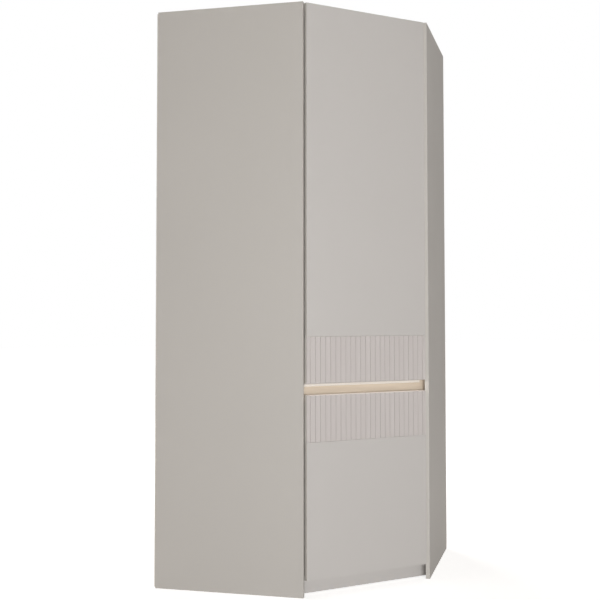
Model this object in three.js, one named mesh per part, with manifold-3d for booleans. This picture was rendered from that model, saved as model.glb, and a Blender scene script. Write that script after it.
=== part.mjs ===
// Corner wardrobe with a diagonal front, two doors and a lit grip recess between them.
// Millimetres, +Z up. The front faces -Y and the room's corner is at +Y.
// X = 0 is the middle of the front. The origin is the middle of the footprint, on the floor.
import * as THREE from 'three';
import { mergeVertices } from 'three/addons/utils/BufferGeometryUtils.js';
import Module from 'manifold-3d';

const wasm = await Module();
wasm.setup();

// Driving sizes of the carcass
const HEIGHT = 2200;
const WALL_LENGTH = 988;
const SIDE_DEPTH = 580;
const BOARD = 16;
const BACK_SHEET = 3;
const BACK_MARGIN = 6;
const STILE_WIDTH = 100;
const PLINTH_HEIGHT = 60;
const PLINTH_LIFT = 2;
const PLINTH_SETBACK = 54;

// Driving sizes of the front
const DOOR_BOARD = 16;
const DOOR_TOP_GAP = 2;
const GRIP_BOTTOM = 735;
const GRIP_HEIGHT = 41;
const BAND_HEIGHT = 174;
const FLUTE_PITCH = 22.4;
const FLUTE_WIDTH = 2.8;
const FLUTE_DEPTH = 3.4;
const FLUTE_MARGIN = 12;
const SEAM_BEVEL = 0.7;
const GRIP_BEVEL = 3;

// Grip rail and the light in it
const RAIL_SETBACK = 34;
const RAIL_HEIGHT = 110;
const LIGHT_TOP_INSET = 1;
const LIGHT_END_INSET = 4;
const CHANNEL_HEIGHT = 10;
const CHANNEL_DEPTH = 7;
const CHANNEL_WALL = 1;
const DIFFUSER_DEPTH = 2;
const DIFFUSER_CROWN = 1.2;
const STRIP_THICKNESS = 1.5;
const DRIVER_LENGTH = 90;
const DRIVER_HEIGHT = 22;
const DRIVER_DEPTH = 30;
const DRIVER_END_INSET = 60;
const INLET_WIDTH = 9;
const INLET_HEIGHT = 7;
const INLET_DEPTH = 8;
const LEAD_RADIUS = 2;

// Shelves, hanging rod and shelf pins
const MIDDLE_SHELF_RISE = 25;
const HAT_SPACE = 318;
const LOWER_SHELF_HEIGHT = 420;
const SHELF_SETBACK = 75;
const ROD_RADIUS = 12.5;
const ROD_WALL = 1.5;
const ROD_LENGTH = 900;
const ROD_FROM_FRONT = 430;
const ROD_DROP = 60;
const BRACKET_THICKNESS = 14;
const BRACKET_FROM_END = 40;
const BRACKET_RING = 5;
const BRACKET_NECK = 14;
const BRACKET_PLATE_LENGTH = 50;
const BRACKET_PLATE_THICKNESS = 4;
const PIN_STEM_RADIUS = 2.4;
const PIN_STEM_LENGTH = 10;
const PIN_NOSE_RADIUS = 4;
const PIN_NOSE_LENGTH = 12;
const PIN_FRONT_SETBACK = 110;
const PIN_WALL_SETBACK = 80;
const ROW_PITCH = 32;
const ROW_HOLES = 5;

// Concealed hinges, with the cup drilled into the door's back
const CUP_RADIUS = 17.5;
const CUP_WALL = 1;
const CUP_DEPTH = 12.5;
const CUP_EDGE = 4;
const RIM_RADIUS = 18.5;
const RIM_THICKNESS = 1;
const FLANGE_LENGTH = 60;
const FLANGE_WIDTH = 14;
const FLANGE_OFFSET = 9.5;
const HINGE_PIN_RADIUS = 1.5;
const EYE_RADIUS = 3.4;
const EYE_FLOOR_GAP = 1.1;
const ARM_WIDTH = 12;
const ARM_THICKNESS = 2.2;
const ARM_STANDOFF = 10;
const HOOK_BEND_SHARE = 1 / 3;
const PLATE_CENTRE = 37;
const PLATE_RIDGE_LENGTH = 38;
const PLATE_BASE_LENGTH = 18;
const PLATE_BASE_HEIGHT = 52;
const PLATE_BASE_THICKNESS = 2;
const HINGE_END_INSET = 100;

// Dowels and buffers
const DOWEL_RADIUS = 4;
const DOWEL_LENGTH = 32;
const DOWEL_END_INSET = 70;
const BUFFER_RADIUS = 5;
const BUFFER_INSET = 30;

// Clearances
const FIT_GAP = 0.3;
const TURN_GAP = 0.5;
const SWING_GAP = 1;
const OVERRUN = 2;

// Counts and angles
const ROUND_SIDES = 32;
const SMALL_SIDES = 16;
const CROWN_STEPS = 6;
const SLANT = Math.SQRT1_2;

// Sizes that follow from the ones above
const footprintDepth = (WALL_LENGTH + SIDE_DEPTH) * SLANT;
const frontHalf = (WALL_LENGTH - SIDE_DEPTH) * SLANT;
const sideEdge = BOARD * SLANT;
const gripTop = GRIP_BOTTOM + GRIP_HEIGHT;
const upperSeam = gripTop + BAND_HEIGHT;
const lowerSeam = GRIP_BOTTOM - BAND_HEIGHT;
const doorTop = HEIGHT - DOOR_TOP_GAP;
const middleShelfTop = GRIP_BOTTOM + MIDDLE_SHELF_RISE;
const hatShelfBottom = HEIGHT - 2 * BOARD - HAT_SPACE;
const railBack = RAIL_SETBACK + BOARD;
const railBottom = GRIP_BOTTOM + (GRIP_HEIGHT - RAIL_HEIGHT) / 2;

// The hinge pin's place decides how far the door's edge keeps from the side board
const hollowRadius = CUP_RADIUS - CUP_WALL;
const hollowReach = Math.sqrt(hollowRadius ** 2 - (ARM_WIDTH / 2) ** 2);
const cupInset = CUP_EDGE + CUP_RADIUS;
const pinInset = cupInset - hollowReach + EYE_RADIUS + TURN_GAP;
const pinFromBack = CUP_DEPTH - CUP_WALL - EYE_RADIUS - EYE_FLOOR_GAP;
const pinFromFront = DOOR_BOARD - pinFromBack;
const swingRadius = Math.hypot(pinInset, pinFromFront);
const swingReach = Math.sqrt((swingRadius + SWING_GAP) ** 2 - (sideEdge - pinFromFront) ** 2);
const doorHalf = frontHalf - sideEdge - swingReach + pinInset;
const pinX = doorHalf - pinInset;
const cornerSwing = Math.hypot(pinInset, pinFromBack);
const hookRadius = cornerSwing + ARM_THICKNESS / 2 + TURN_GAP;
// The door's back corner swings inward past its pin, so the boards behind it stand clear
const frameFront = pinFromFront + cornerSwing + TURN_GAP;

// Finishes
const FINISHES = {
  laminate: { color: 0xc5beb7, roughness: 0.62, metalness: 0 },
  flutedBoard: { color: 0xc6bdb9, roughness: 0.58, metalness: 0 },
  oak: { color: 0xd3b895, roughness: 0.55, metalness: 0 },
  backSheet: { color: 0xd9d3ca, roughness: 0.8, metalness: 0 },
  nickel: { color: 0xbfc2c4, roughness: 0.28, metalness: 1 },
  chrome: { color: 0xd6d8da, roughness: 0.12, metalness: 1 },
  aluminium: { color: 0xb9bbbd, roughness: 0.4, metalness: 1 },
  opal: { color: 0xf1e6d8, roughness: 0.45, metalness: 0 },
  circuit: { color: 0xe9e4d6, roughness: 0.6, metalness: 0 },
  casing: { color: 0xe6e3dd, roughness: 0.5, metalness: 0 },
  sheath: { color: 0xe2ded6, roughness: 0.6, metalness: 0 },
  buffer: { color: 0xdcdcda, roughness: 0.35, metalness: 0 },
  beech: { color: 0xcfa874, roughness: 0.7, metalness: 0 },
};

const wardrobe = new THREE.Group();
// Depths in the front frame run from the diagonal front's plane into the wardrobe
const front = new THREE.Group();
front.position.y = -footprintDepth / 2;
wardrobe.add(front);

function place(parent, name, finish, geometry, height) {
  const mesh = new THREE.Mesh(geometry, new THREE.MeshStandardMaterial(FINISHES[finish]));
  mesh.name = name;
  mesh.position.z = height;
  parent.add(mesh);
}

// Boolean joins and cuts on closed geometries
function toSolid(geometry) {
  const bare = geometry.clone();
  bare.deleteAttribute('normal');
  bare.deleteAttribute('uv');
  const merged = mergeVertices(bare);
  const vertProperties = new Float32Array(merged.attributes.position.array);
  const triVerts = new Uint32Array(merged.index.array);
  return new wasm.Manifold(new wasm.Mesh({ numProp: 3, vertProperties, triVerts }));
}

function toGeometry(solid) {
  const mesh = solid.getMesh();
  const geometry = new THREE.BufferGeometry();
  geometry.setAttribute('position', new THREE.BufferAttribute(mesh.vertProperties, 3));
  geometry.setIndex(new THREE.BufferAttribute(mesh.triVerts, 1));
  geometry.computeVertexNormals();
  return geometry;
}

function join(geometry, ...others) {
  return toGeometry(others.reduce((solid, other) => solid.add(toSolid(other)), toSolid(geometry)));
}

function cut(geometry, ...tools) {
  return toGeometry(tools.reduce((solid, tool) => solid.subtract(toSolid(tool)), toSolid(geometry)));
}

// A plan outline raised from its own zero height
function raise(points, height, hole) {
  const shape = new THREE.Shape(points);
  if (hole) shape.holes.push(hole);
  return new THREE.ExtrudeGeometry(shape, { depth: height, bevelEnabled: false });
}

// A side profile, drawn as depth and height, run along X and centred on it
function runAlong(shape, length) {
  const curveSegments = SMALL_SIDES;
  const geometry = new THREE.ExtrudeGeometry(shape, { depth: length, bevelEnabled: false, curveSegments });
  geometry.translate(0, 0, -length / 2);
  geometry.rotateX(Math.PI / 2);
  geometry.rotateZ(Math.PI / 2);
  return geometry;
}

function point(x, y) {
  return new THREE.Vector2(x, y);
}

// A plan place given by its distances from the room's corner along both walls
function fromCorner(alongLeft, alongRight) {
  return point((alongRight - alongLeft) * SLANT, footprintDepth / 2 - (alongLeft + alongRight) * SLANT);
}

function cornerBox(left, right, height) {
  const corners = [[left[0], right[0]], [left[0], right[1]], [left[1], right[1]], [left[1], right[0]]];
  return raise(corners.map(([a, b]) => fromCorner(a, b)), height);
}

// A place at the right side board's inner face: along it from its front edge, and off it
function atRightSide(along, off) {
  return point(frontHalf - sideEdge + (along - off) * SLANT, sideEdge + (along + off) * SLANT);
}

function mirrored(points) {
  return points.map((p) => point(-p.x, p.y));
}

// A round bar along a plan direction
function barBetween(start, end, radius, height, sides) {
  const length = start.distanceTo(end);
  const bar = new THREE.CylinderGeometry(radius, radius, length, sides);
  bar.rotateZ(Math.atan2(end.y - start.y, end.x - start.x) - Math.PI / 2);
  bar.translate((start.x + end.x) / 2, (start.y + end.y) / 2, height);
  return bar;
}

// Places of the five shelf pins: a point on the carrying face and the way out of the board
function pinPlaces() {
  const out = { left: point(SLANT, SLANT), right: point(-SLANT, SLANT) };
  const nearFront = atRightSide(PIN_FRONT_SETBACK, 0);
  const nearWall = atRightSide(SIDE_DEPTH - PIN_WALL_SETBACK, 0);
  const stileFace = fromCorner(BACK_SHEET + FIT_GAP + STILE_WIDTH / 2, BACK_SHEET + FIT_GAP + BOARD);
  const frontY = front.position.y;
  return [
    { board: 'left_side', face: point(-nearFront.x, nearFront.y + frontY), way: out.left },
    { board: 'left_side', face: point(-nearWall.x, nearWall.y + frontY), way: out.left },
    { board: 'right_side', face: point(nearFront.x, nearFront.y + frontY), way: out.right },
    { board: 'right_side', face: point(nearWall.x, nearWall.y + frontY), way: out.right },
    { board: 'left_corner_stile', face: stileFace, way: point(SLANT, -SLANT) },
  ];
}

const lowerShelfBottom = LOWER_SHELF_HEIGHT - BOARD;
const pinHeight = lowerShelfBottom - FIT_GAP - PIN_NOSE_RADIUS;

// Rows of holes for the shelf pins, so that the lower shelf can be set higher or lower
function pinHoles(board) {
  const holes = [];
  for (const { face, way } of pinPlaces().filter((pin) => pin.board === board)) {
    const deep = face.clone().addScaledVector(way, -PIN_STEM_LENGTH - FIT_GAP);
    const mouth = face.clone().addScaledVector(way, OVERRUN);
    for (let i = 0; i < ROW_HOLES; i += 1) {
      const height = pinHeight + (i - (ROW_HOLES - 1) / 2) * ROW_PITCH;
      holes.push(barBetween(deep, mouth, PIN_STEM_RADIUS + FIT_GAP, height, SMALL_SIDES));
    }
  }
  return holes;
}

// Side boards, back sheets and the two upright boards in the back corner
function addUprights() {
  const wall = [BACK_SHEET + FIT_GAP, SIDE_DEPTH];
  const end = [WALL_LENGTH - BOARD, WALL_LENGTH];
  const leftSide = cut(cornerBox(end, wall, HEIGHT), ...pinHoles('left_side'));
  const rightSide = cut(cornerBox(wall, end, HEIGHT), ...pinHoles('right_side'));
  place(wardrobe, 'left_side', 'laminate', leftSide, 0);
  place(wardrobe, 'right_side', 'laminate', rightSide, 0);

  const sheetHeight = HEIGHT - 2 * BACK_MARGIN;
  const sheet = [0, BACK_SHEET];
  const leftBack = cornerBox([0, WALL_LENGTH], sheet, sheetHeight);
  const rightBack = cornerBox(sheet, [BACK_SHEET + FIT_GAP, WALL_LENGTH], sheetHeight);
  place(wardrobe, 'left_back', 'backSheet', leftBack, BACK_MARGIN);
  place(wardrobe, 'right_back', 'backSheet', rightBack, BACK_MARGIN);

  const inner = BACK_SHEET + FIT_GAP;
  const thick = [inner, inner + BOARD];
  const stileHeight = HEIGHT - BOARD - FIT_GAP;
  const leftStile = cornerBox([inner, inner + STILE_WIDTH], thick, stileHeight);
  const rightStile = cornerBox(thick, [inner + BOARD + FIT_GAP, inner + STILE_WIDTH], stileHeight);
  place(wardrobe, 'left_corner_stile', 'laminate', cut(leftStile, ...pinHoles('left_corner_stile')), 0);
  place(wardrobe, 'right_corner_stile', 'laminate', rightStile, 0);
}

// Five-sided level boards, notched around the corner stiles
function levelOutline(setback, notched) {
  const wall = BACK_SHEET + FIT_GAP;
  const end = WALL_LENGTH - BOARD - FIT_GAP;
  const across = WALL_LENGTH + SIDE_DEPTH - setback / SLANT;
  const stileFace = wall + BOARD + FIT_GAP;
  const stileEnd = wall + STILE_WIDTH + FIT_GAP;
  const notch = [[stileEnd, wall], [stileEnd, stileFace], [stileFace, stileFace]];
  const back = notched ? [...notch, [stileFace, stileEnd], [wall, stileEnd]] : [[wall, wall]];
  const corners = [[end, wall], ...back, [wall, end], [across - end, end], [end, across - end]];
  return corners.map(([a, b]) => fromCorner(a, b));
}

function addLevels() {
  const levels = [
    ['top_panel', frameFront, HEIGHT - BOARD, false],
    ['bottom_panel', frameFront, PLINTH_HEIGHT, true],
    ['middle_shelf', railBack + FIT_GAP, middleShelfTop - BOARD, true],
    ['hat_shelf', SHELF_SETBACK, hatShelfBottom, true],
    ['lower_shelf', SHELF_SETBACK, lowerShelfBottom, true],
  ];
  for (const [name, setback, height, notched] of levels) {
    place(wardrobe, name, 'laminate', raise(levelOutline(setback, notched), BOARD), height);
  }
}

// A board that spans between the side boards, parallel to the diagonal front
function spanOutline(setback) {
  const reach = (depth) => frontHalf - 2 * sideEdge + depth - FIT_GAP / SLANT;
  const back = setback + BOARD;
  const right = [point(reach(setback), setback), point(reach(back), back)];
  return [...mirrored(right).reverse(), ...right];
}

function addPlinth() {
  const height = PLINTH_HEIGHT - FIT_GAP - PLINTH_LIFT;
  place(front, 'plinth', 'laminate', raise(spanOutline(PLINTH_SETBACK), height), PLINTH_LIFT);
}

// A rectangular block centred on X, from a depth and a height of its own
function block(width, depth, height, x, y, z) {
  const box = new THREE.BoxGeometry(width, depth, height);
  box.translate(x, y + depth / 2, z + height / 2);
  return box;
}

// The oak rail behind the recess, with a routed groove for the light
const lightTop = gripTop - LIGHT_TOP_INSET;
const lightBottom = lightTop - CHANNEL_HEIGHT;
const lightMiddle = (lightTop + lightBottom) / 2;
const lightLength = 2 * (doorHalf - LIGHT_END_INSET);
const leadX = doorHalf - DRIVER_END_INSET - DRIVER_LENGTH / 2;

function addGripRail() {
  const grooveLength = lightLength + 2 * FIT_GAP;
  const grooveHeight = CHANNEL_HEIGHT + 2 * FIT_GAP;
  const grooveDepth = CHANNEL_DEPTH + FIT_GAP + OVERRUN;
  const grooveFront = RAIL_SETBACK - OVERRUN;
  const groove = block(grooveLength, grooveDepth, grooveHeight, 0, grooveFront, lightBottom - FIT_GAP);
  const hole = new THREE.CylinderGeometry(
    LEAD_RADIUS + FIT_GAP, LEAD_RADIUS + FIT_GAP, BOARD + 2 * OVERRUN, SMALL_SIDES);
  hole.translate(leadX, RAIL_SETBACK + BOARD / 2, lightMiddle);
  const rail = raise(spanOutline(RAIL_SETBACK), RAIL_HEIGHT);
  rail.translate(0, 0, railBottom);
  place(front, 'grip_rail', 'oak', cut(rail, groove, hole), 0);
}

// The light: a channel with a strip on its floor and a crowned diffuser in its mouth
function addLight() {
  const innerHeight = CHANNEL_HEIGHT - 2 * CHANNEL_WALL;
  const innerBottom = lightBottom + CHANNEL_WALL;
  const full = block(lightLength, CHANNEL_DEPTH, CHANNEL_HEIGHT, 0, RAIL_SETBACK, lightBottom);
  const hollowDepth = CHANNEL_DEPTH - CHANNEL_WALL + OVERRUN;
  const hollowLength = lightLength - 2 * CHANNEL_WALL;
  const hollow = block(hollowLength, hollowDepth, innerHeight, 0, RAIL_SETBACK - OVERRUN, innerBottom);
  place(front, 'light_channel', 'aluminium', cut(full, hollow), 0);

  const stripHeight = innerHeight - 2 * FIT_GAP;
  const stripBack = RAIL_SETBACK + CHANNEL_DEPTH - CHANNEL_WALL - FIT_GAP;
  const insertLength = hollowLength - 2 * FIT_GAP;
  const strip = block(
    insertLength, STRIP_THICKNESS, stripHeight, 0, stripBack - STRIP_THICKNESS, innerBottom + FIT_GAP);
  place(front, 'light_strip', 'circuit', strip, 0);

  const low = innerBottom + FIT_GAP;
  const high = low + stripHeight;
  const back = RAIL_SETBACK + DIFFUSER_DEPTH;
  const profile = new THREE.Shape([point(back, high), point(back, low), point(RAIL_SETBACK, low)]);
  for (let i = 1; i < CROWN_STEPS; i += 1) {
    const share = i / CROWN_STEPS;
    profile.lineTo(RAIL_SETBACK - DIFFUSER_CROWN * Math.sin(Math.PI * share), low + stripHeight * share);
  }
  profile.lineTo(RAIL_SETBACK, high);
  place(front, 'light_diffuser', 'opal', runAlong(profile, insertLength), 0);

  addDriver();
}

// The driver stands on the middle shelf against the rail's back, with its supply inlet behind
function addDriver() {
  const driverFront = railBack + FIT_GAP;
  const driverBottom = middleShelfTop + FIT_GAP;
  const casing = block(DRIVER_LENGTH, DRIVER_DEPTH, DRIVER_HEIGHT, leadX, driverFront, driverBottom);
  const inletDepth = driverFront + DRIVER_DEPTH - INLET_DEPTH;
  const inletBottom = driverBottom + (DRIVER_HEIGHT - INLET_HEIGHT) / 2;
  const inlet = block(INLET_WIDTH, INLET_DEPTH + OVERRUN, INLET_HEIGHT, leadX, inletDepth, inletBottom);
  place(front, 'light_driver', 'casing', cut(casing, inlet), 0);

  const leadFront = RAIL_SETBACK + CHANNEL_DEPTH + FIT_GAP;
  const leadLength = driverFront - FIT_GAP - leadFront;
  const lead = new THREE.CylinderGeometry(LEAD_RADIUS, LEAD_RADIUS, leadLength, SMALL_SIDES);
  lead.translate(leadX, leadFront + leadLength / 2, lightMiddle);
  place(front, 'light_lead', 'sheath', lead, 0);
}

// Hanging rod under the hat shelf
const rodHeight = hatShelfBottom - ROD_DROP;

function addRod() {
  const outer = new THREE.Shape();
  outer.absarc(ROD_FROM_FRONT, rodHeight, ROD_RADIUS, 0, 2 * Math.PI);
  const bore = new THREE.Path();
  bore.absarc(ROD_FROM_FRONT, rodHeight, ROD_RADIUS - ROD_WALL, 0, 2 * Math.PI);
  outer.holes.push(bore);
  place(front, 'hanging_rod', 'chrome', runAlong(outer, ROD_LENGTH), 0);
  addRodBracket('left_rod_bracket', BRACKET_FROM_END - ROD_LENGTH / 2);
  addRodBracket('right_rod_bracket', ROD_LENGTH / 2 - BRACKET_FROM_END);
}

// A ring for the rod, on a neck under a plate that is screwed to the shelf
function addRodBracket(name, x) {
  const plateTop = hatShelfBottom - FIT_GAP;
  const plateBottom = plateTop - BRACKET_PLATE_THICKNESS;
  const ringRadius = ROD_RADIUS + FIT_GAP + BRACKET_RING;
  const neck = BRACKET_NECK / 2;
  const plate = BRACKET_PLATE_LENGTH / 2;
  const neckAngle = Math.asin(neck / ringRadius);
  const outline = new THREE.Shape([point(ROD_FROM_FRONT + plate, plateTop)]);
  outline.lineTo(ROD_FROM_FRONT - plate, plateTop);
  outline.lineTo(ROD_FROM_FRONT - plate, plateBottom);
  outline.lineTo(ROD_FROM_FRONT - neck, plateBottom);
  const start = Math.PI / 2 + neckAngle;
  outline.absarc(ROD_FROM_FRONT, rodHeight, ringRadius, start, 2 * Math.PI + Math.PI / 2 - neckAngle);
  outline.lineTo(ROD_FROM_FRONT + neck, plateBottom);
  outline.lineTo(ROD_FROM_FRONT + plate, plateBottom);
  const bore = new THREE.Path();
  bore.absarc(ROD_FROM_FRONT, rodHeight, ROD_RADIUS + FIT_GAP, 0, 2 * Math.PI);
  outline.holes.push(bore);
  const bracket = runAlong(outline, BRACKET_THICKNESS);
  bracket.translate(x, 0, 0);
  place(front, name, 'nickel', bracket, 0);
}

function addShelfPins() {
  pinPlaces().forEach(({ face, way }, index) => {
    const root = face.clone().addScaledVector(way, -PIN_STEM_LENGTH);
    const shoulder = face.clone().addScaledVector(way, FIT_GAP);
    const tip = face.clone().addScaledVector(way, FIT_GAP + PIN_NOSE_LENGTH);
    const stem = barBetween(root, tip, PIN_STEM_RADIUS, pinHeight, SMALL_SIDES);
    const nose = barBetween(shoulder, tip, PIN_NOSE_RADIUS, pinHeight, SMALL_SIDES);
    place(wardrobe, `shelf_pin_${index + 1}`, 'nickel', join(stem, nose), 0);
  });
}

// Dowels that hold each door's plain board to its fluted board
const dowelPlaces = [DOWEL_END_INSET - doorHalf, 0, doorHalf - DOWEL_END_INSET];

function dowelAt(x, seam, radius, length) {
  const dowel = new THREE.CylinderGeometry(radius, radius, length, SMALL_SIDES);
  dowel.rotateX(Math.PI / 2);
  dowel.translate(x, DOOR_BOARD / 2, seam);
  return dowel;
}

function dowelHoles(seam) {
  return dowelPlaces.map((x) => dowelAt(x, seam, DOWEL_RADIUS + FIT_GAP, DOWEL_LENGTH + 2 * FIT_GAP));
}

// The hole in a door's back for one hinge cup
function cupHole(height) {
  const depth = CUP_DEPTH + FIT_GAP;
  const radius = CUP_RADIUS + FIT_GAP;
  const hole = new THREE.CylinderGeometry(radius, radius, depth + OVERRUN, ROUND_SIDES);
  hole.translate(doorHalf - cupInset, DOOR_BOARD - depth + (depth + OVERRUN) / 2, height);
  return hole;
}

// A cutter that bevels a door board's front edge; way is 1 for a top edge, -1 for a bottom edge
function bevelCutter(edge, size, way) {
  const low = edge - way * (size + OVERRUN);
  const high = edge + way * OVERRUN;
  const profile = new THREE.Shape([point(-OVERRUN, low), point(size + OVERRUN, high), point(-OVERRUN, high)]);
  return runAlong(profile, 2 * (doorHalf + OVERRUN));
}

function plainBoard(low, high) {
  return block(2 * doorHalf, DOOR_BOARD, high - low, 0, 0, low);
}

// A board with upright grooves across its whole width and half a groove on each edge
function flutedBoard(low, high) {
  const gaps = Math.floor((2 * (doorHalf - FLUTE_MARGIN)) / FLUTE_PITCH);
  const face = [point(-doorHalf, FLUTE_DEPTH), point(-doorHalf + FLUTE_WIDTH / 2, 0)];
  for (let i = 0; i <= gaps; i += 1) {
    const x = (i - gaps / 2) * FLUTE_PITCH;
    face.push(point(x - FLUTE_WIDTH / 2, 0), point(x, FLUTE_DEPTH), point(x + FLUTE_WIDTH / 2, 0));
  }
  face.push(point(doorHalf - FLUTE_WIDTH / 2, 0), point(doorHalf, FLUTE_DEPTH));
  const outline = [...face, point(doorHalf, DOOR_BOARD), point(-doorHalf, DOOR_BOARD)];
  const board = raise(outline, high - low);
  board.translate(0, 0, low);
  return board;
}

// Heights of the hinges on each board of the doors
const upperPlainHinges = [(upperSeam + doorTop) / 2, doorTop - HINGE_END_INSET];
const upperFlutedHinge = gripTop + BAND_HEIGHT / 2;
const lowerFlutedHinge = GRIP_BOTTOM - BAND_HEIGHT / 2;
const lowerPlainHinge = PLINTH_HEIGHT + HINGE_END_INSET;

function addDoors() {
  const half = FIT_GAP / 2;
  place(front, 'upper_door_panel', 'laminate', cut(
    plainBoard(upperSeam + half, doorTop),
    bevelCutter(upperSeam + half, SEAM_BEVEL, -1),
    ...dowelHoles(upperSeam),
    ...upperPlainHinges.map(cupHole)), 0);
  place(front, 'upper_fluted_panel', 'flutedBoard', cut(
    flutedBoard(gripTop, upperSeam - half),
    bevelCutter(upperSeam - half, SEAM_BEVEL, 1),
    bevelCutter(gripTop, GRIP_BEVEL, -1),
    ...dowelHoles(upperSeam),
    cupHole(upperFlutedHinge)), 0);
  place(front, 'lower_fluted_panel', 'flutedBoard', cut(
    flutedBoard(lowerSeam + half, GRIP_BOTTOM),
    bevelCutter(GRIP_BOTTOM, GRIP_BEVEL, 1),
    bevelCutter(lowerSeam + half, SEAM_BEVEL, -1),
    ...dowelHoles(lowerSeam),
    cupHole(lowerFlutedHinge)), 0);
  place(front, 'lower_door_panel', 'laminate', cut(
    plainBoard(PLINTH_HEIGHT, lowerSeam - half),
    bevelCutter(lowerSeam - half, SEAM_BEVEL, 1),
    ...dowelHoles(lowerSeam),
    cupHole(lowerPlainHinge)), 0);
  for (const [side, seam] of [['upper', upperSeam], ['lower', lowerSeam]]) {
    dowelPlaces.forEach((x, index) => {
      place(front, `${side}_dowel_${index + 1}`, 'beech', dowelAt(x, seam, DOWEL_RADIUS, DOWEL_LENGTH), 0);
    });
  }
}

// Soft buffers on the carcass that the doors close against
function addBuffers() {
  const length = frameFront - DOOR_BOARD - 2 * FIT_GAP;
  const buffers = [['upper_buffer', HEIGHT - BOARD / 2], ['lower_buffer', PLINTH_HEIGHT + BOARD / 2]];
  for (const [name, height] of buffers) {
    const pad = new THREE.CylinderGeometry(BUFFER_RADIUS, BUFFER_RADIUS, length, SMALL_SIDES);
    pad.translate(BUFFER_INSET - doorHalf, frameFront - FIT_GAP - length / 2, height);
    place(front, name, 'buffer', pad, 0);
  }
}

// Hinge cup: a dish with a rim, and a flange that is screwed to the door's back
function hingeCup() {
  const rimBack = DOOR_BOARD + FIT_GAP + RIM_THICKNESS;
  const cupFront = DOOR_BOARD - CUP_DEPTH;
  const x = doorHalf - cupInset;
  const dish = new THREE.CylinderGeometry(CUP_RADIUS, CUP_RADIUS, rimBack - cupFront, ROUND_SIDES);
  dish.translate(x, (rimBack + cupFront) / 2, 0);
  const rim = new THREE.CylinderGeometry(RIM_RADIUS, RIM_RADIUS, RIM_THICKNESS, ROUND_SIDES);
  rim.translate(x, rimBack - RIM_THICKNESS / 2, 0);
  const flange = new THREE.BoxGeometry(FLANGE_WIDTH, RIM_THICKNESS, FLANGE_LENGTH);
  flange.translate(x - FLANGE_OFFSET, rimBack - RIM_THICKNESS / 2, 0);
  const hollowFront = cupFront + CUP_WALL;
  const hollowLength = rimBack + OVERRUN - hollowFront;
  const hollow = new THREE.CylinderGeometry(hollowRadius, hollowRadius, hollowLength, ROUND_SIDES);
  hollow.translate(x, hollowFront + hollowLength / 2, 0);
  return cut(join(dish, rim, flange), hollow);
}

// The pin stands across the cup's hollow
function hingePin() {
  const offCentre = cupInset - pinInset + HINGE_PIN_RADIUS;
  const length = 2 * (Math.sqrt(hollowRadius ** 2 - offCentre ** 2) - FIT_GAP);
  const pin = new THREE.CylinderGeometry(HINGE_PIN_RADIUS, HINGE_PIN_RADIUS, length, SMALL_SIDES);
  pin.rotateX(Math.PI / 2);
  pin.translate(pinX, pinFromFront, 0);
  return pin;
}

// Points of a bent strip of even thickness, from its centre line
function stripOutline(line, thickness) {
  const sides = [[], []];
  line.forEach((p, index) => {
    const before = p.clone().sub(line[Math.max(index - 1, 0)]).normalize();
    const after = line[Math.min(index + 1, line.length - 1)].clone().sub(p).normalize();
    const way = before.clone().add(after).normalize();
    const turn = Math.max(before.dot(way), after.dot(way));
    const off = point(-way.y, way.x).multiplyScalar(thickness / 2 / turn);
    sides[0].push(p.clone().add(off));
    sides[1].unshift(p.clone().sub(off));
  });
  return [...sides[0], ...sides[1]];
}

// The arm hooks around the door's edge: an eye on the pin, out of the cup, over to its plate
function hingeArm() {
  const pin = point(pinX, pinFromFront);
  const bend = HOOK_BEND_SHARE * hookRadius;
  const top = pinFromFront + hookRadius;
  const left = pinX - hookRadius;
  const turnAlong = (top - sideEdge) / SLANT - ARM_STANDOFF;
  const line = [
    pin,
    point(left + bend, pinFromFront),
    point(left, pinFromFront + bend),
    point(left, top - bend),
    point(left + bend, top),
    atRightSide(turnAlong, ARM_STANDOFF),
    atRightSide(PLATE_CENTRE + PLATE_RIDGE_LENGTH / 2, ARM_STANDOFF),
  ];
  const strip = raise(stripOutline(line, ARM_THICKNESS), ARM_WIDTH);
  strip.translate(0, 0, -ARM_WIDTH / 2);
  const eye = new THREE.CylinderGeometry(EYE_RADIUS, EYE_RADIUS, ARM_WIDTH, SMALL_SIDES);
  const boreRadius = HINGE_PIN_RADIUS + FIT_GAP;
  const bore = new THREE.CylinderGeometry(boreRadius, boreRadius, ARM_WIDTH + 2 * OVERRUN, SMALL_SIDES);
  for (const round of [eye, bore]) {
    round.rotateX(Math.PI / 2);
    round.translate(pinX, pinFromFront, 0);
  }
  return cut(join(strip, eye), bore);
}

// Mounting plate on the right side board: wings for its screws and a ridge for the arm
function hingePlate() {
  const slab = (low, high, from, to, height) => {
    const corners = [[low, from], [high, from], [high, to], [low, to]];
    const body = raise(corners.map(([along, off]) => atRightSide(along, off)), height);
    body.translate(0, 0, -height / 2);
    return body;
  };
  const ridgeTop = ARM_STANDOFF - ARM_THICKNESS / 2 - FIT_GAP;
  const base = PLATE_BASE_LENGTH / 2;
  const ridge = PLATE_RIDGE_LENGTH / 2;
  const wings = slab(
    PLATE_CENTRE - base, PLATE_CENTRE + base, FIT_GAP, FIT_GAP + PLATE_BASE_THICKNESS, PLATE_BASE_HEIGHT);
  return join(wings, slab(PLATE_CENTRE - ridge, PLATE_CENTRE + ridge, FIT_GAP, ridgeTop, ARM_WIDTH));
}

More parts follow.
